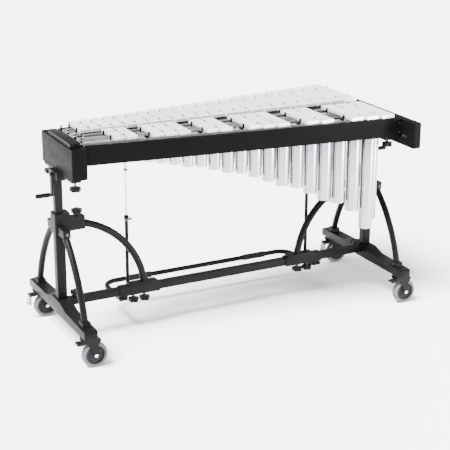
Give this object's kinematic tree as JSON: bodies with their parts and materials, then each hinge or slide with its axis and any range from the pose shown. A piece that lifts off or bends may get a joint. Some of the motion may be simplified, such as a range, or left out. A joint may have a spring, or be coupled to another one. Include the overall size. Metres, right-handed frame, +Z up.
{
  "type": "vibraphone",
  "caption": "Mallet instrument with graduated metal bars over tube resonators, on a height-adjustable rolling stand with damper pedal.",
  "frame": {"origin": "on the floor, under the middle of the instrument", "axes": "+X towards the long low bars, +Y towards the player, +Z up"},
  "size_m": [1.58, 0.78, 0.836],
  "materials": {
    "black_frame": "satin black powder coat",
    "inner_post": "satin black",
    "black_plastic": "moulded, fine texture",
    "bolts": "blackened steel",
    "bars": "satin silver",
    "tubes": "polished",
    "rails": "satin extrusion",
    "bar_posts": "black plastic",
    "cord": "braided",
    "motor": "zinc plated",
    "belts": "matte",
    "cranks": "plated, black grip",
    "fans": "satin",
    "damper": "satin",
    "felt": "dense felt",
    "springs": "spring steel",
    "rods": "plated",
    "caster_fork": "dark grey moulding",
    "caster_hub": "grey moulding",
    "tyre": "light grey rubber"
  },
  "bodies": {
    "stand": {"left_foot": "black_frame", "right_foot": "black_frame", "left_outer_post": "black_frame", "right_outer_post": "black_frame", "left_collar": "black_frame", "right_collar": "black_frame", "long_beam": "black_frame", "left_beam_bracket": "black_frame", "right_beam_bracket": "black_frame", "arched_braces": "black_frame", "side_struts": "black_frame", "stand_knobs": "black_plastic", "stand_bolts": "bolts"},
    "keyboard": {"left_inner_post": "inner_post", "right_inner_post": "inner_post", "top_brackets": "black_frame", "left_end_cap": "black_frame", "right_end_cap": "black_frame", "near_fascia": "black_frame", "far_fascia": "black_frame", "bar_rails": "rails", "bar_posts": "bar_posts", "suspension_cords": "cord", "natural_bars": "bars", "accidental_bars": "bars", "natural_resonators": "tubes", "accidental_resonators": "tubes", "frame_ties": "bolts", "drive_housing": "black_plastic", "drive_motor": "motor", "drive_belts": "belts", "frame_knobs": "black_plastic", "damper_springs": "springs"},
    "left_crank": {"left_crank": "cranks"},
    "right_crank": {"right_crank": "cranks"},
    "motor_rotor": {"motor_pulley": "fans"},
    "natural_fan": {"natural_fans": "fans"},
    "accidental_fan": {"accidental_fans": "fans"},
    "damper": {"damper_bar": "damper", "damper_felt": "felt", "upper_pedal_rods": "rods"},
    "pedal": {"pedal_arms": "black_frame", "pedal_bar": "black_frame"},
    "rod_tubes": {"rod_tubes": "black_frame"},
    "near_left_caster": {"near_left_fork": "caster_fork"},
    "near_left_wheel": {"near_left_hub": "caster_hub", "near_left_tyre": "tyre"},
    "near_left_brake": {"near_left_brake_lever": "caster_fork"},
    "near_right_caster": {"near_right_fork": "caster_fork"},
    "near_right_wheel": {"near_right_hub": "caster_hub", "near_right_tyre": "tyre"},
    "near_right_brake": {"near_right_brake_lever": "caster_fork"},
    "far_left_caster": {"far_left_fork": "caster_fork"},
    "far_left_wheel": {"far_left_hub": "caster_hub", "far_left_tyre": "tyre"},
    "far_left_brake": {"far_left_brake_lever": "caster_fork"},
    "far_right_caster": {"far_right_fork": "caster_fork"},
    "far_right_wheel": {"far_right_hub": "caster_hub", "far_right_tyre": "tyre"},
    "far_right_brake": {"far_right_brake_lever": "caster_fork"}
  },
  "joints": [
    {"name": "near_left_swivel", "type": "hinge", "parent": "stand", "child": "near_left_caster", "pos_m": [-0.703, -0.27, 0.128], "axis": [0, 0, 1], "continuous": true},
    {"name": "near_left_roll", "type": "hinge", "parent": "near_left_caster", "child": "near_left_wheel", "pos_m": [-0.677, -0.27, 0.05], "axis": [0, 1, 0], "continuous": true},
    {"name": "near_left_brake_press", "type": "hinge", "parent": "near_left_caster", "child": "near_left_brake", "pos_m": [-0.719, -0.27, 0.104], "axis": [0, 1, 0], "range_deg": [0, 14]},
    {"name": "near_right_swivel", "type": "hinge", "parent": "stand", "child": "near_right_caster", "pos_m": [0.703, -0.27, 0.128], "axis": [0, 0, 1], "continuous": true},
    {"name": "near_right_roll", "type": "hinge", "parent": "near_right_caster", "child": "near_right_wheel", "pos_m": [0.729, -0.27, 0.05], "axis": [0, 1, 0], "continuous": true},
    {"name": "near_right_brake_press", "type": "hinge", "parent": "near_right_caster", "child": "near_right_brake", "pos_m": [0.687, -0.27, 0.104], "axis": [0, 1, 0], "range_deg": [0, 14]},
    {"name": "far_left_swivel", "type": "hinge", "parent": "stand", "child": "far_left_caster", "pos_m": [-0.703, 0.27, 0.128], "axis": [0, 0, 1], "continuous": true},
    {"name": "far_left_roll", "type": "hinge", "parent": "far_left_caster", "child": "far_left_wheel", "pos_m": [-0.677, 0.27, 0.05], "axis": [0, 1, 0], "continuous": true},
    {"name": "far_left_brake_press", "type": "hinge", "parent": "far_left_caster", "child": "far_left_brake", "pos_m": [-0.719, 0.27, 0.104], "axis": [0, 1, 0], "range_deg": [0, 14]},
    {"name": "far_right_swivel", "type": "hinge", "parent": "stand", "child": "far_right_caster", "pos_m": [0.703, 0.27, 0.128], "axis": [0, 0, 1], "continuous": true},
    {"name": "far_right_roll", "type": "hinge", "parent": "far_right_caster", "child": "far_right_wheel", "pos_m": [0.729, 0.27, 0.05], "axis": [0, 1, 0], "continuous": true},
    {"name": "far_right_brake_press", "type": "hinge", "parent": "far_right_caster", "child": "far_right_brake", "pos_m": [0.687, 0.27, 0.104], "axis": [0, 1, 0], "range_deg": [0, 14]},
    {"name": "frame_height", "type": "slide", "parent": "stand", "child": "keyboard", "axis": [0, 0, 1], "range_m": [0, 0.12]},
    {"name": "left_crank_turn", "type": "hinge", "parent": "keyboard", "child": "left_crank", "pos_m": [-0.72, 0, 0.687], "axis": [1, 0, 0], "range_deg": [0, 1805]},
    {"name": "right_crank_turn", "type": "hinge", "parent": "keyboard", "child": "right_crank", "pos_m": [0.72, 0, 0.687], "axis": [1, 0, 0], "range_deg": [0, 1805]},
    {"name": "motor_spin", "type": "hinge", "parent": "keyboard", "child": "motor_rotor", "pos_m": [-0.63, 0.03, 0.755], "axis": [1, 0, 0], "continuous": true},
    {"name": "natural_fan_spin", "type": "hinge", "parent": "keyboard", "child": "natural_fan", "pos_m": [-0.63, 0.0972, 0.792], "axis": [0.9985, 0.0546, 0], "continuous": true},
    {"name": "accidental_fan_spin", "type": "hinge", "parent": "keyboard", "child": "accidental_fan", "pos_m": [-0.63, -0.0361, 0.792], "axis": [0.9931, -0.1172, 0], "continuous": true},
    {"name": "pedal_press", "type": "hinge", "parent": "stand", "child": "pedal", "pos_m": [0, -0.007, 0.138], "axis": [-1, 0, 0], "range_deg": [0, 7.5], "stiffness_Nm_per_rad": 30, "springref_deg": -20.05},
    {"name": "damper_drop", "type": "slide", "parent": "keyboard", "child": "damper", "axis": [0, 0, -1], "range_m": [0, 0.0042], "stiffness_N_per_m": 3000, "springref_m": -0.015, "deforming": ["damper_springs"]},
    {"name": "rod_tubes_drop", "type": "slide", "parent": "stand", "child": "rod_tubes", "axis": [0, 0, -1], "range_m": [0, 0.0042], "stiffness_N_per_m": 400, "springref_m": -0.015}
  ],
  "couplings": [
    {"joint": "left_crank_turn", "follows": "frame_height", "rad_per_m": 261.8},
    {"joint": "right_crank_turn", "follows": "frame_height", "rad_per_m": 261.8},
    {"joint": "motor_spin", "follows": "accidental_fan_spin", "ratio": 1.25},
    {"joint": "natural_fan_spin", "follows": "accidental_fan_spin", "ratio": 1},
    {"joint": "damper_drop", "follows": "pedal_press", "m_per_rad": 0.031},
    {"joint": "rod_tubes_drop", "follows": "pedal_press", "m_per_rad": 0.031}
  ]
}
